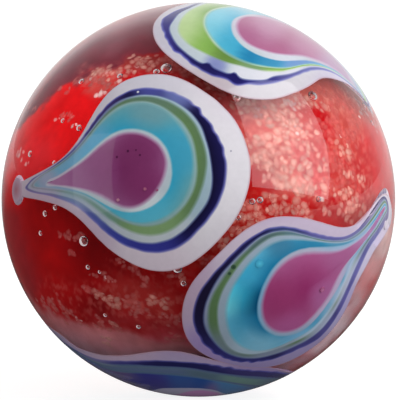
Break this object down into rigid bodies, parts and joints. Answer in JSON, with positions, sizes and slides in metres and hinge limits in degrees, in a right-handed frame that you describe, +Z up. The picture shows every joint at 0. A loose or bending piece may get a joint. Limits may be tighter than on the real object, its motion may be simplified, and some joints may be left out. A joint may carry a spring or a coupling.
{
  "type": "glass marble",
  "caption": "Solid lampworked glass marble: a red core with pale frit inside clear glass, under raked stacked dots melted flush into the ball.",
  "frame": {"origin": "centre of the ball", "axes": "+Z up as the marble lies in the picture, -Y towards the viewer, +X to the viewer's right; a ball has no axis of its own, so the pattern fixes the three directions"},
  "size_m": [0.032, 0.032, 0.032],
  "materials": {
    "clear_glass": "clear, polished",
    "red_core": "dense transparent red, fused inside the ball",
    "frit": "opaque pale peach grains, fused",
    "white_glass": "opaque, fire polished",
    "navy_glass": "dense, fire polished",
    "green_glass": "opaque, fire polished",
    "turquoise_glass": "opaque, fire polished",
    "purple_glass": "dense, fire polished"
  },
  "bodies": {
    "root": {"clear_glass": "clear_glass", "red_core": "red_core", "frit": "frit", "white_glass": "white_glass", "navy_glass": "navy_glass", "green_glass": "green_glass", "turquoise_glass": "turquoise_glass", "purple_glass": "purple_glass"}
  },
  "joints": []
}
